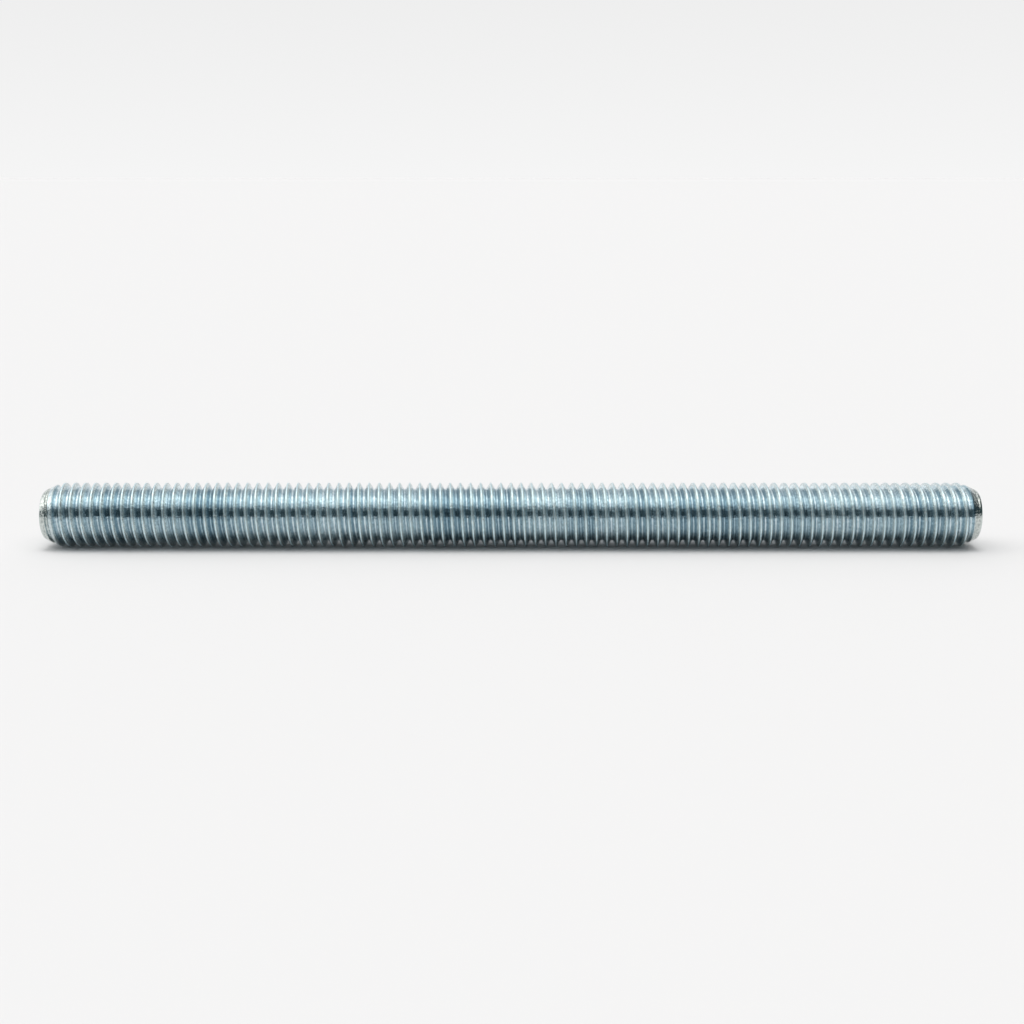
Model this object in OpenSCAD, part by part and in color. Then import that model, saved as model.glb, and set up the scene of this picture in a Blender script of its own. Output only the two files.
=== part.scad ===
// Fully threaded rod with a right-hand metric coarse thread and chamfered ends.
// It lies along X on the plane z = 0, with its middle at x = 0.

/* [Rod] */
// Overall length, from end face to end face
rod_length = 115; // [40:1:140]
// Diameter over the thread crests
major_d = 7.9; // [7:0.05:8.5]

/* [Thread] */
// Axial distance from one crest to the next
pitch = 1.25; // [1:0.05:1.5]
// Angle between the two flanks of the groove, in degrees
thread_angle = 60; // [50:1:62]
// Distance from the left end face to the first crest on the top line
first_crest = 1.3; // [0.8:0.05:2]

/* [Ends] */
// Diameter at which the end chamfers would meet the end faces
end_d = 6; // [5:0.1:6.4]
// Slope of the end chamfers to the rod's axis, in degrees
chamfer_angle = 25; // [20:1:60]
// Radius that rounds the edge of each end face
edge_r = 0.3; // [0.1:0.05:0.5]

/* [Hidden] */

zinc = "#b9c6cb";
crest_r = major_d / 2;
chamfer_l = (crest_r - end_d / 2) / tan(chamfer_angle);
arc_steps = 6;                          // cone bands in each rounded edge

// A rolled thread's form follows its pitch.
thread_depth = 0.61 * pitch;
root_width = 0.16 * pitch;
root_r = crest_r - thread_depth;

// The groove cutter enters half a pitch before one end face and leaves half a pitch after the
// other, in flat steps whose middles lie on the true radius.
cutter_r = crest_r + 0.05;
turns = rod_length / pitch + 1;
facet_budget = 12000;                   // most triangles that the cutter may have
max_steps = 24;
groove_section = [                      // as [distance along the axis, radius]
    [-half_width(cutter_r), cutter_r],
    [-half_width(root_r), root_r],
    [half_width(root_r), root_r],
    [half_width(cutter_r), cutter_r],
];
corners = len(groove_section);
steps = min(max_steps, floor(facet_budget / (2 * corners) / turns));    // in each turn
rings = ceil(turns * steps);
step_gain = 1 / cos(180 / steps);

// Half of the groove's width along the axis, at radius r
function half_width(r) = root_width / 2 + (r - root_r) * tan(thread_angle / 2);

// Angle of the groove's middle at distance x from the left end face. It turns from the top
// towards the front, which makes the thread right-handed.
function groove_angle(x) = 360 * (x - first_crest) / pitch + 180;

function groove_ring(i) = let (x = pitch * (i / steps - 1 / 2), a = groove_angle(x))
    [for (p = groove_section)
        [x + p[0] - rod_length / 2, -p[1] * step_gain * sin(a), p[1] * step_gain * cos(a)]];

// The groove's section swept along the helix
module groove_cutter() {
    sides = [for (i = [0:rings - 1], c = [0:corners - 1])
        let (a = i * corners + c, b = i * corners + (c + 1) % corners)
        each [[a, a + corners, b + corners], [a, b + corners, b]]];
    first_cap = [for (c = [0:corners - 1]) c];
    last_cap = [for (c = [corners - 1:-1:0]) rings * corners + c];
    polyhedron([for (i = [0:rings]) each groove_ring(i)], concat(sides, [first_cap, last_cap]));
}

// Outline of one end, as [radius, distance along the axis]: the middle of the end face, its
// rounded edge and the outer edge of the chamfer
function end_outline(side) =
    let (turn = 90 - chamfer_angle, flat_r = end_d / 2 - edge_r * tan(turn / 2), end_x = rod_length / 2)
    [
        [0, side * end_x],
        for (k = [0:arc_steps]) let (a = turn * k / arc_steps)
            [flat_r + edge_r * sin(a), side * (end_x - edge_r * (1 - cos(a)))],
        [crest_r, side * (end_x - chamfer_l)]
    ];

function reversed(list) = [for (i = [len(list) - 1:-1:0]) list[i]];

// The round bar with its chamfered ends, before threading
module blank() {
    rotate([0, 90, 0])
        rotate_extrude($fn = 96)
            polygon(concat(end_outline(-1), reversed(end_outline(1))));
}

module threaded_rod() {
    color(zinc)
        translate([0, 0, crest_r])
            difference() {
                blank();
                groove_cutter();
            }
}

threaded_rod();
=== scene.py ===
import math

import bpy
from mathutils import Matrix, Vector


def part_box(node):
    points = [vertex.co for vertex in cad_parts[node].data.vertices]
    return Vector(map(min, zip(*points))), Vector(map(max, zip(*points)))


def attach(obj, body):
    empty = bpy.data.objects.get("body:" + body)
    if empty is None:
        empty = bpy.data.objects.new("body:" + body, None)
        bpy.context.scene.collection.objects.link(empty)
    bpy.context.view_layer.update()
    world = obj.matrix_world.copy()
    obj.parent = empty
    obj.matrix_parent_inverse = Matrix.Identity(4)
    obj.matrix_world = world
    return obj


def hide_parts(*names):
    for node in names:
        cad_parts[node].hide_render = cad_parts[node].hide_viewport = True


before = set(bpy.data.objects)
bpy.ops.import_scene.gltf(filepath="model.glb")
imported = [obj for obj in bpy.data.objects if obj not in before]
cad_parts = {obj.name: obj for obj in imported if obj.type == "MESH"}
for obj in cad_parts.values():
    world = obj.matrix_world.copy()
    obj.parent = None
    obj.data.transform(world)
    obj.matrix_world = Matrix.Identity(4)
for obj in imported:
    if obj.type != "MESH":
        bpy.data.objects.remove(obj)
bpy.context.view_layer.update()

mm = 0.001        # sizes below are in millimetres, the scene is in metres
hair = 0.01 * mm  # a point this near to a line or a plane counts as on it


def deselectAll():
    if bpy.context.mode != "OBJECT":
        bpy.ops.object.mode_set(mode="OBJECT")
    bpy.ops.object.select_all(action="DESELECT")


def selectVertices(piece, wanted):  # wanted is asked about each vertex's place; ends in edit mode
    bpy.ops.object.mode_set(mode="OBJECT")
    for items in (piece.data.polygons, piece.data.edges):
        for item in items:
            item.select = False
    for vertex in piece.data.vertices:
        vertex.select = wanted(vertex.co)
    bpy.ops.object.mode_set(mode="EDIT")


def applyModifier(piece, kind, name, settings):
    modifier = piece.modifiers.new(name, kind)
    for key, value in settings.items():
        setattr(modifier, key, value)
    bpy.context.view_layer.objects.active = piece
    bpy.ops.object.modifier_apply(modifier=name)


def addNode(tree, kind, settings=None, links=None):  # keys are sockets or the node's own settings
    node = tree.nodes.new(kind)
    for key, value in (settings or {}).items():
        if isinstance(key, int) or key in node.inputs:
            node.inputs[key].default_value = value
        else:
            setattr(node, key, value)
    for key, source in (links or {}).items():
        tree.links.new(source, node.inputs[key])
    return node


def linearColour(hexCode):
    channels = [int(hexCode[i:i + 2], 16) / 255 for i in (1, 3, 5)]
    return [c / 12.92 if c <= 0.04045 else ((c + 0.055) / 1.055) ** 2.4 for c in channels] + [1.0]


# Rolled metric thread: narrow flats at crest and root, with their corners rounded by the dies
rod = {
    "node": "threaded_rod",
    "pitch": 1.25,          # crest to crest
    "flankAngle": 30,       # each flank to a plane across the rod, degrees
    "threadDepth": 0.7625,
    "rootWidth": 0.2,       # flat at the bottom of the groove
    "crestCorner": 0.05,    # how far each corner's rounding reaches along the flat and the flank
    "rootCorner": 0.04,
    "firstCrest": 1.3,      # from the left end face, along the top
    "spareTurns": 2,        # swept before the first crest, which takes them past the end face
    "turnSteps": 48,
    "arcSegments": 3,
    "weldReach": 0.004,     # joins the seam between one turn and the next
    "trimMargin": 0.2,      # the sweep's ragged ends are squared off this far outside the rod
    "trimReach": 0.0001,    # and points this near to that cut count as on it
    "blankMargin": 0.1,     # the end cutter's body stands this far outside the crests
    "blankSides": 96,
    "endDiameter": 6.0,     # where the chamfer would meet the end face if their edge were sharp
    "chamferAngle": 25,     # to the rod's axis
    "edgeRadius": 0.3,
    "edgeSegments": 5,
    "smoothAngle": 28,      # edges sharper than this stay crisp
}


def threadProfile(rod, crestRadius, crestX):  # one pitch of the thread's outline, as a bare wire
    pitch = rod["pitch"] * mm
    slope = math.tan(math.radians(rod["flankAngle"]))
    rootRadius = crestRadius - rod["threadDepth"] * mm
    lowTip = rootRadius - rod["rootWidth"] * mm / 2 / slope  # where the flanks would meet
    height = pitch / 2 / slope
    highTip = lowTip + height
    deselectAll()
    bpy.ops.mesh.primitive_plane_add(size=pitch)
    profile = bpy.context.active_object
    bpy.ops.object.mode_set(mode="EDIT")
    bpy.ops.mesh.merge(type="CENTER")
    bpy.ops.transform.translate(value=(crestX - pitch / 4, 0, lowTip + height / 2))
    # a zigzag with sharp tips, which are then cut flat, and the flats' corners rounded
    for step in ((pitch / 4, 0, height / 2), (pitch / 2, 0, -height), (pitch / 4, 0, height / 2)):
        bpy.ops.mesh.extrude_region_move(TRANSFORM_OT_translate={"value": step})
    for tip, radius, corner in ((highTip, crestRadius, "crestCorner"),
                                (lowTip, rootRadius, "rootCorner")):
        selectVertices(profile, lambda place: abs(place.z - tip) < hair)
        cut = abs(tip - radius) / math.cos(math.radians(rod["flankAngle"]))
        bpy.ops.mesh.bevel(offset_type="OFFSET", offset=cut, segments=1, affect="VERTICES")
        selectVertices(profile, lambda place: abs(place.z - radius) < hair)
        bpy.ops.mesh.bevel(offset_type="OFFSET", offset=rod[corner] * mm,
                           segments=rod["arcSegments"], profile=0.5, affect="VERTICES")
    bpy.ops.object.mode_set(mode="OBJECT")
    return profile


def endCutter(rod, crestRadius, length):  # the bar's shape before threading, a little too thick
    bodyRadius = crestRadius + rod["blankMargin"] * mm
    endRadius = rod["endDiameter"] * mm / 2
    chamfer = (bodyRadius - endRadius) / math.tan(math.radians(rod["chamferAngle"]))
    edgeReach = rod["edgeRadius"] * mm * math.tan(math.radians(90 - rod["chamferAngle"]) / 2)
    deselectAll()
    bpy.ops.mesh.primitive_cylinder_add(vertices=rod["blankSides"], radius=bodyRadius,
                                        depth=length - 2 * chamfer, rotation=(0, math.pi / 2, 0))
    cutter = bpy.context.active_object
    bpy.ops.object.transform_apply(rotation=True)
    for side in (-1, 1):
        selectVertices(cutter, lambda place: side * place.x > length / 2 - chamfer - hair)
        bpy.ops.mesh.select_mode(type="FACE")
        bpy.ops.mesh.extrude_region_move(TRANSFORM_OT_translate={"value": (side * chamfer, 0, 0)})
        shrink = endRadius / bodyRadius
        bpy.ops.transform.resize(value=(1, shrink, shrink), center_override=(0, 0, 0))
        bpy.ops.mesh.bevel(offset_type="OFFSET", offset=edgeReach,
                           segments=rod["edgeSegments"], profile=0.5)
        bpy.ops.mesh.select_mode(type="VERT")
    bpy.ops.object.mode_set(mode="OBJECT")
    return cutter


def makeRod(rod):
    low, high = (Vector(corner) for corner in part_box(rod["node"]))
    length = high.x - low.x
    crestRadius = (high.z - low.z) / 2
    pitch = rod["pitch"] * mm
    sweepStart = -length / 2 + rod["firstCrest"] * mm - rod["spareTurns"] * pitch
    thread = threadProfile(rod, crestRadius, sweepStart)
    thread.name = "rod_thread"
    applyModifier(thread, "SCREW", "turns", {
        "axis": "X", "angle": 2 * math.pi, "screw_offset": pitch,
        "iterations": math.ceil(length / pitch) + rod["spareTurns"] + 1,
        "steps": rod["turnSteps"], "render_steps": rod["turnSteps"],
    })
    print("thread swept,", len(thread.data.polygons), "faces")

    # the boolean needs a closed body, so the ragged ends are squared off and filled first
    bpy.ops.object.mode_set(mode="EDIT")
    bpy.ops.mesh.select_all(action="SELECT")
    bpy.ops.mesh.remove_doubles(threshold=rod["weldReach"] * mm)
    trimX = length / 2 + rod["trimMargin"] * mm
    for side in (-1, 1):
        bpy.ops.mesh.select_all(action="SELECT")
        bpy.ops.mesh.bisect(plane_co=(side * trimX, 0, 0), plane_no=(side, 0, 0), clear_outer=True,
                            use_fill=True, threshold=rod["trimReach"] * mm)
    bpy.ops.mesh.select_all(action="SELECT")
    bpy.ops.mesh.normals_make_consistent(inside=False)
    bpy.ops.object.mode_set(mode="OBJECT")

    cutter = endCutter(rod, crestRadius, length)
    applyModifier(thread, "BOOLEAN", "ends",
                  {"operation": "INTERSECT", "object": cutter, "solver": "MANIFOLD"})
    bpy.data.objects.remove(cutter)
    deselectAll()
    thread.select_set(True)
    bpy.context.view_layer.objects.active = thread
    bpy.ops.object.mode_set(mode="EDIT")
    bpy.ops.mesh.select_all(action="SELECT")
    bpy.ops.transform.translate(value=((low + high) / 2))
    bpy.ops.object.mode_set(mode="OBJECT")
    bpy.ops.object.shade_smooth_by_angle(angle=math.radians(rod["smoothAngle"]))
    applyModifier(thread, "WEIGHTED_NORMAL", "flat_flanks", {"weight": 100, "keep_sharp": True})
    print("ends chamfered,", len(thread.data.polygons), "faces")
    return thread


# Zinc plating, electroplated bright and blue-passivated: a clean, slightly blue mirror that fine
# crystals make a little soft. Inside the grooves light bounces three times and comes out bluer and
# darker. The crests are rubbed to a soft bright line, and a coarser grain dulls the flanks just
# under them and the turned ends
zinc = {
    "base": "#d5e3e8",          # of the grooves
    "streakTint": "#a0b8c3",    # and of the rolling marks in them
    "flank": "#d2ddde",
    "crest": "#dcf1f6",
    "end": "#d6dcd9",
    "speck": "#dde2e5",         # darkens the tallest crystals and turning marks a little
    "chamferSpeck": "#c8cccc",  # and the tallest crystals of the chamfers rather more
    "grooveRoughness": (0.13, 0.18),
    "flankRoughness": 0.23,
    "crestRoughness": 0.33,
    "endRoughness": 0.22,
    "flankBand": (0.4, 0.28),   # depths under the crest over which the flank turns dull
    "crestBand": (0.04, 0.01),  # and over which the crest turns bright
    "endBand": (1.25, 0.95),    # distances from the end face over which the end turns dull
    "fray": 0.12,               # how far the edges of the dull bands wander
    "patch": 0.9,               # size of the smoother and rougher patches in the grooves
    "ripple": 0.7,              # slow unevenness of the rolled surface
    "rippleHeight": 0.006,
    "streak": 0.3,              # rolling marks along the thread
    "streakFade": 3.0,          # how far along the rod one mark lasts
    "streakHeight": 0.016,
    "crystal": 0.3,             # coarser than real zinc crystals, which are too fine to show
    "crystalHeight": 0.03,
    "grain": 0.3,               # grain of the dull flanks and the turned ends, drawn coarser too
    "grainHeight": 0.034,
    "ring": 0.3,                # turning marks on the chamfers and the end faces
    "ringHeight": 0.012,
    "faceBand": (0.3, 0.05),    # distances from the end face over which the crystals sink
    "faceCrystals": 0.35,       # how much of their height is left on the face
    "detail": {"patch": 3.0, "ripple": 1.0, "crystal": 3.0, "grain": 4.0, "streak": 2.0,
               "ring": 3.0},
    "patchRange": (0.3, 0.7),   # noise values over which the patches go from smooth to rough
    "streakRange": (0.42, 0.62),
    "speckRange": (0.38, 0.62),
}


def zincMaterial(zinc, crestRadius, halfLength, pitch):
    material = bpy.data.materials.new("zinc_plated_rolled_steel")
    material.use_nodes = True
    tree = material.node_tree
    tree.nodes.clear()
    place = addNode(tree, "ShaderNodeTexCoord").outputs["Object"]
    patches, ripples, crystals, grain = (
        addNode(tree, "ShaderNodeTexNoise",
                {"Scale": 1 / (zinc[name] * mm), "Detail": zinc["detail"][name]},
                {"Vector": place}).outputs["Fac"]
        for name in ("patch", "ripple", "crystal", "grain"))

    # distance from the rod's axis tells crest from groove, distance along it tells the ends
    along = addNode(tree, "ShaderNodeSeparateXYZ", links={0: place}).outputs["X"]
    across = addNode(tree, "ShaderNodeMapping",
                     {"Location": (0, 0, -crestRadius), "Scale": (0, 1, 1)},
                     {"Vector": place}).outputs[0]
    offAxis = addNode(tree, "ShaderNodeVectorMath", {"operation": "LENGTH"},
                      {0: across}).outputs["Value"]
    radius = addNode(tree, "ShaderNodeMath", {"operation": "MULTIPLY_ADD", 1: zinc["fray"] * mm},
                     {0: grain, 2: offAxis}).outputs[0]
    reach = addNode(tree, "ShaderNodeMath", {"operation": "ABSOLUTE"}, {0: along}).outputs[0]
    flank, crest, end = (
        addNode(tree, "ShaderNodeMapRange",
                {"interpolation_type": "SMOOTHSTEP", "From Min": limit - zinc[band][0] * mm,
                 "From Max": limit - zinc[band][1] * mm}, {"Value": distance}).outputs[0]
        for distance, limit, band in ((radius, crestRadius + zinc["fray"] / 2 * mm, "flankBand"),
                                      (radius, crestRadius + zinc["fray"] / 2 * mm, "crestBand"),
                                      (reach, halfLength, "endBand")))

    # the rolling marks follow the thread: their noise is wound on a circle, one turn to a pitch
    sides = addNode(tree, "ShaderNodeSeparateXYZ", links={0: across}).outputs
    angle = addNode(tree, "ShaderNodeMath", {"operation": "ARCTAN2"},
                    {0: sides["Y"], 1: sides["Z"]}).outputs[0]
    phase = addNode(tree, "ShaderNodeMath", {"operation": "MULTIPLY_ADD", 1: 2 * math.pi / pitch},
                    {0: along, 2: angle}).outputs[0]
    wound = addNode(tree, "ShaderNodeCombineXYZ", links={
        0: addNode(tree, "ShaderNodeMath", {"operation": "COSINE"}, {0: phase}).outputs[0],
        1: addNode(tree, "ShaderNodeMath", {"operation": "SINE"}, {0: phase}).outputs[0],
        2: addNode(tree, "ShaderNodeMath", {"operation": "DIVIDE", 1: zinc["streakFade"] * mm},
                   {0: along}).outputs[0]})
    streaks = addNode(tree, "ShaderNodeTexNoise",
                      {"Scale": pitch / (2 * math.pi * zinc["streak"] * mm),
                       "Detail": zinc["detail"]["streak"]},
                      {"Vector": wound.outputs[0]}).outputs["Fac"]
    marks = addNode(tree, "ShaderNodeMapRange",
                    {"From Min": zinc["streakRange"][0], "From Max": zinc["streakRange"][1]},
                    {"Value": streaks}).outputs[0]

    roughness = addNode(tree, "ShaderNodeMapRange",
                        {"From Min": zinc["patchRange"][0], "From Max": zinc["patchRange"][1],
                         "To Min": zinc["grooveRoughness"][0],
                         "To Max": zinc["grooveRoughness"][1]}, {"Value": patches}).outputs[0]
    # a Mix node takes numbers at its sockets 2 and 3, and colours at 6 and 7
    colour = addNode(tree, "ShaderNodeMix",
                     {"data_type": "RGBA", 6: linearColour(zinc["base"]),
                      7: linearColour(zinc["streakTint"])}, {0: marks}).outputs[2]
    for mask, name in ((flank, "flank"), (crest, "crest"), (end, "end")):
        colour = addNode(tree, "ShaderNodeMix", {"data_type": "RGBA", 7: linearColour(zinc[name])},
                         {0: mask, 6: colour}).outputs[2]
        roughness = addNode(tree, "ShaderNodeMix", {3: zinc[name + "Roughness"]},
                            {0: mask, 2: roughness}).outputs[0]

    face = addNode(tree, "ShaderNodeMapRange",
                   {"From Min": halfLength - zinc["faceBand"][0] * mm,
                    "From Max": halfLength - zinc["faceBand"][1] * mm},
                   {"Value": reach}).outputs[0]
    chamfer = addNode(tree, "ShaderNodeMath", {"operation": "SUBTRACT"},
                      {0: end, 1: face}).outputs[0]

    # crystals darken the thread and the chamfers here and there, turning marks the end faces
    rings = addNode(tree, "ShaderNodeTexNoise",
                    {"noise_dimensions": "1D", "Scale": 1 / (zinc["ring"] * mm),
                     "Detail": zinc["detail"]["ring"]}, {"W": offAxis}).outputs["Fac"]
    specks = addNode(tree, "ShaderNodeMix", links={0: face, 2: crystals, 3: rings}).outputs[0]
    specks = addNode(tree, "ShaderNodeMapRange",
                     {"From Min": zinc["speckRange"][0], "From Max": zinc["speckRange"][1]},
                     {"Value": specks}).outputs[0]
    shade = addNode(tree, "ShaderNodeMix", {"data_type": "RGBA", 6: linearColour(zinc["speck"]),
                                            7: linearColour(zinc["chamferSpeck"])},
                    {0: chamfer}).outputs[2]
    colour = addNode(tree, "ShaderNodeMix", {"data_type": "RGBA", "blend_type": "MULTIPLY"},
                     {0: specks, 6: colour, 7: shade}).outputs[2]

    dull = addNode(tree, "ShaderNodeMath", {"operation": "MAXIMUM"}, {0: flank, 1: end}).outputs[0]
    calm = addNode(tree, "ShaderNodeMapRange", {"To Min": 1.0, "To Max": zinc["faceCrystals"]},
                   {"Value": face}).outputs[0]
    grained = addNode(tree, "ShaderNodeMath", {"operation": "MULTIPLY"},
                      {0: dull, 1: calm}).outputs[0]
    bump = None
    for name, height, strength in (("ripple", ripples, None), ("streak", streaks, None),
                                   ("crystal", crystals, calm), ("grain", grain, grained),
                                   ("ring", rings, end)):
        inputs = {"Height": height, "Strength": strength, "Normal": bump}
        bump = addNode(tree, "ShaderNodeBump", {"Distance": zinc[name + "Height"] * mm},
                       {key: source for key, source in inputs.items() if source}).outputs[0]
    shader = addNode(tree, "ShaderNodeBsdfPrincipled", {"Metallic": 1.0},
                     {"Base Color": colour, "Roughness": roughness, "Normal": bump})
    addNode(tree, "ShaderNodeOutputMaterial", links={"Surface": shader.outputs["BSDF"]})
    return material


rodThread = makeRod(rod)
rodReach, _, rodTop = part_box(rod["node"])[1]
zincPlate = zincMaterial(zinc, rodTop / 2, rodReach, rod["pitch"] * mm)
rodThread.data.materials.clear()
rodThread.data.materials.append(zincPlate)
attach(rodThread, "root")
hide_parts(rod["node"])
print("rod dressed")


# A table top of light acrylic in a dark room, under a white ceiling with a long softbox that runs
# along the rod. Behind the table stands a white wall, beside the camera two grey boards, on the
# right a dark screen
studio = {
    "floorWidth": 60.0,     # metres, so that its edge lies at the horizon
    "floor": "#d7d7d8",
    "floorRoughness": 0.9,
    "paintedGlow": 0.01,           # painted light: a faint emission of the acrylic that lifts the darkest shadow
    "strength": 1.76,
    "leftBoost": 1.3,       # the lights are this much stronger on the left
    "boostSide": (-0.35, -0.05),            # -1 is straight to the left, 0 straight ahead
    "lean": 12,             # how far they lean back on the left and forward on the right, degrees
    "lampTilt": 4,          # from straight overhead towards the front, degrees
    "lampEnergy": 0.9,
    "lampSpread": 24,
    # the room's light, by degrees up from the front horizon, over the top and down behind
    "surroundings": (
        (0, "#1c2c30"), (31, "#1c2c30"), (52, "#b8baba"), (64, "#e2e1e0"), (78, "#fffcf8"),
        (92, "#fffcf8"), (105, "#c8c8c8"), (118, "#bebebe"), (138, "#adadad"), (156, "#b2b2b2"),
        (176, "#c6c6c6"),
    ),
    "board": "#74797a",
    "boardSide": (0.42, 0.58, 0.8, 0.9),    # 0 is straight ahead, 1 straight to the side
    "boardTop": (36, 44),                   # degrees over which they fade out upwards
    "screenSide": (0.6, 0.72),
    "screenTop": (32, 44),
    "backdrop": ("#f5f5f5", "#ededed"),     # at the horizon and higher up
    "backdropTop": 8,
}


def studioLight(studio):
    world = bpy.data.worlds.new("studio")
    world.use_nodes = True
    bpy.context.scene.world = world
    tree = world.node_tree
    tree.nodes.clear()
    outward = addNode(tree, "ShaderNodeTexCoord").outputs["Generated"]
    x, y, z = addNode(tree, "ShaderNodeSeparateXYZ", links={0: outward}).outputs
    front = addNode(tree, "ShaderNodeMath", {"operation": "MULTIPLY", 1: -1}, {0: y}).outputs[0]
    over = addNode(tree, "ShaderNodeMath", {"operation": "ARCTAN2"}, {0: z, 1: front}).outputs[0]
    height = addNode(tree, "ShaderNodeMath", {"operation": "ARCSINE"}, {0: z}).outputs[0]
    aside = addNode(tree, "ShaderNodeMath", {"operation": "ABSOLUTE"}, {0: x}).outputs[0]
    leaning = addNode(tree, "ShaderNodeMath",
                      {"operation": "MULTIPLY_ADD", 1: math.radians(studio["lean"])},
                      {0: x, 2: over}).outputs[0]
    turn = addNode(tree, "ShaderNodeMath", {"operation": "DIVIDE", 1: math.pi},
                   {0: leaning}).outputs[0]
    room = addNode(tree, "ShaderNodeValToRGB", links={"Fac": turn})
    ramp = room.color_ramp
    ramp.interpolation = "EASE"
    ramp.elements.remove(ramp.elements[1])
    for i, (degrees, colour) in enumerate(studio["surroundings"]):
        stop = ramp.elements.new(degrees / 180) if i else ramp.elements[0]
        stop.position = degrees / 180
        stop.color = linearColour(colour)

    # boards and screen fade in and out by side and height
    boardIn, boardOut, boardTop = (
        addNode(tree, "ShaderNodeMapRange",
                {"interpolation_type": "SMOOTHSTEP", "From Min": start, "From Max": end,
                 "To Min": first, "To Max": 1 - first}, {"Value": value}).outputs[0]
        for value, start, end, first in (
            (aside, *studio["boardSide"][:2], 0), (aside, *studio["boardSide"][2:], 1),
            (over, *(math.radians(v) for v in studio["boardTop"]), 1)))
    boards = addNode(tree, "ShaderNodeMath", {"operation": "MULTIPLY"},
                     {0: boardIn, 1: boardOut}).outputs[0]
    boards = addNode(tree, "ShaderNodeMath", {"operation": "MULTIPLY"},
                     {0: boards, 1: boardTop}).outputs[0]
    sky = addNode(tree, "ShaderNodeMix", {"data_type": "RGBA", 7: linearColour(studio["board"])},
                  {0: boards, 6: room.outputs[0]}).outputs[2]
    screenIn = addNode(tree, "ShaderNodeMapRange",
                       {"interpolation_type": "SMOOTHSTEP", "From Min": studio["screenSide"][0],
                        "From Max": studio["screenSide"][1]}, {"Value": x}).outputs[0]
    screenTop = addNode(tree, "ShaderNodeMapRange",
                        {"interpolation_type": "SMOOTHSTEP", "To Min": 1.0, "To Max": 0.0,
                         "From Min": math.radians(studio["screenTop"][0]),
                         "From Max": math.radians(studio["screenTop"][1])},
                        {"Value": height}).outputs[0]
    screen = addNode(tree, "ShaderNodeMath", {"operation": "MULTIPLY"},
                     {0: screenIn, 1: screenTop}).outputs[0]
    sky = addNode(tree, "ShaderNodeMix",
                  {"data_type": "RGBA", 7: linearColour(studio["surroundings"][0][1])},
                  {0: screen, 6: sky}).outputs[2]
    strength = addNode(tree, "ShaderNodeMapRange",
                       {"From Min": studio["boostSide"][0], "From Max": studio["boostSide"][1],
                        "To Min": studio["strength"] * studio["leftBoost"],
                        "To Max": studio["strength"]}, {"Value": x}).outputs[0]
    light = addNode(tree, "ShaderNodeBackground",
                    links={"Color": sky, "Strength": strength}).outputs[0]

    # the camera sees a plain backdrop instead
    rise = addNode(tree, "ShaderNodeMapRange", {"From Max": math.radians(studio["backdropTop"])},
                   {"Value": height}).outputs[0]
    low, high = (linearColour(colour) for colour in studio["backdrop"])
    wall = addNode(tree, "ShaderNodeMix", {"data_type": "RGBA", 6: low, 7: high},
                   {0: rise}).outputs[2]
    backdrop = addNode(tree, "ShaderNodeBackground", links={"Color": wall}).outputs[0]
    seen = addNode(tree, "ShaderNodeLightPath").outputs["Is Camera Ray"]
    mixed = addNode(tree, "ShaderNodeMixShader",
                    links={0: seen, 1: light, 2: backdrop}).outputs[0]
    addNode(tree, "ShaderNodeOutputWorld", links={"Surface": mixed})


def tableLamp(studio):  # a broad lamp overhead that only the table takes up: it firms the shadow
    deselectAll()
    bpy.ops.object.light_add(type="SUN", rotation=(math.radians(studio["lampTilt"]), 0, 0))
    lamp = bpy.context.active_object
    lamp.name = "table_lamp"
    lamp.data.energy = studio["lampEnergy"]
    lamp.data.angle = math.radians(studio["lampSpread"])
    lamp.visible_glossy = False


# Satin opal acrylic, cast and frosted: an even pale grey that mirrors nothing. A very faint
# emission is painted on it as light, to lift the darkest shadow; the table is no lamp
def studioFloor(studio):
    deselectAll()
    bpy.ops.mesh.primitive_plane_add(size=studio["floorWidth"])
    floor = bpy.context.active_object
    floor.name = "table_top"
    material = bpy.data.materials.new("satin_opal_acrylic")
    material.use_nodes = True
    tree = material.node_tree
    tree.nodes.clear()
    # the emission below is painted light that lightens the shadow under the rod
    shader = addNode(tree, "ShaderNodeBsdfPrincipled",
                     {"Base Color": linearColour(studio["floor"]),
                      "Roughness": studio["floorRoughness"], "Specular IOR Level": 0.0,
                      "Emission Strength": studio["paintedGlow"]})
    addNode(tree, "ShaderNodeOutputMaterial", links={"Surface": shader.outputs["BSDF"]})
    floor.data.materials.append(material)


studioLight(studio)
tableLamp(studio)
studioFloor(studio)
print("studio lit")

# A close view from the front, looking down a little on the rod
shot = {
    "distance": 180,
    "elevation": 13,
    "aimAbove": 0.32,       # above the rod's axis
    "aimAside": 0.15,       # to the right of the rod's middle
    "frameWidth": 126.7,    # what the frame spans at the rod
    "sensorWidth": 36,
    "clipNear": 10,
    "clipFar": 100000,      # well past the table's far edge
}


def placeCamera(shot):
    low, high = (Vector(corner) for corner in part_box(rod["node"]))
    aim = (low + high) / 2 + Vector((shot["aimAside"] * mm, 0, shot["aimAbove"] * mm))
    tilt = math.radians(shot["elevation"])
    place = aim + Vector((0, -math.cos(tilt), math.sin(tilt))) * shot["distance"] * mm
    data = bpy.data.cameras.new("product_camera")
    data.sensor_width = shot["sensorWidth"]
    data.lens = data.sensor_width * shot["distance"] / shot["frameWidth"]
    data.clip_start = shot["clipNear"] * mm
    data.clip_end = shot["clipFar"] * mm
    camera = bpy.data.objects.new("product_camera", data)
    bpy.context.scene.collection.objects.link(camera)
    camera.location = place
    camera.rotation_euler = (aim - place).to_track_quat("-Z", "Y").to_euler()
    bpy.context.scene.camera = camera


placeCamera(shot)
bpy.context.scene.view_settings.view_transform = "Standard"
print("camera placed")
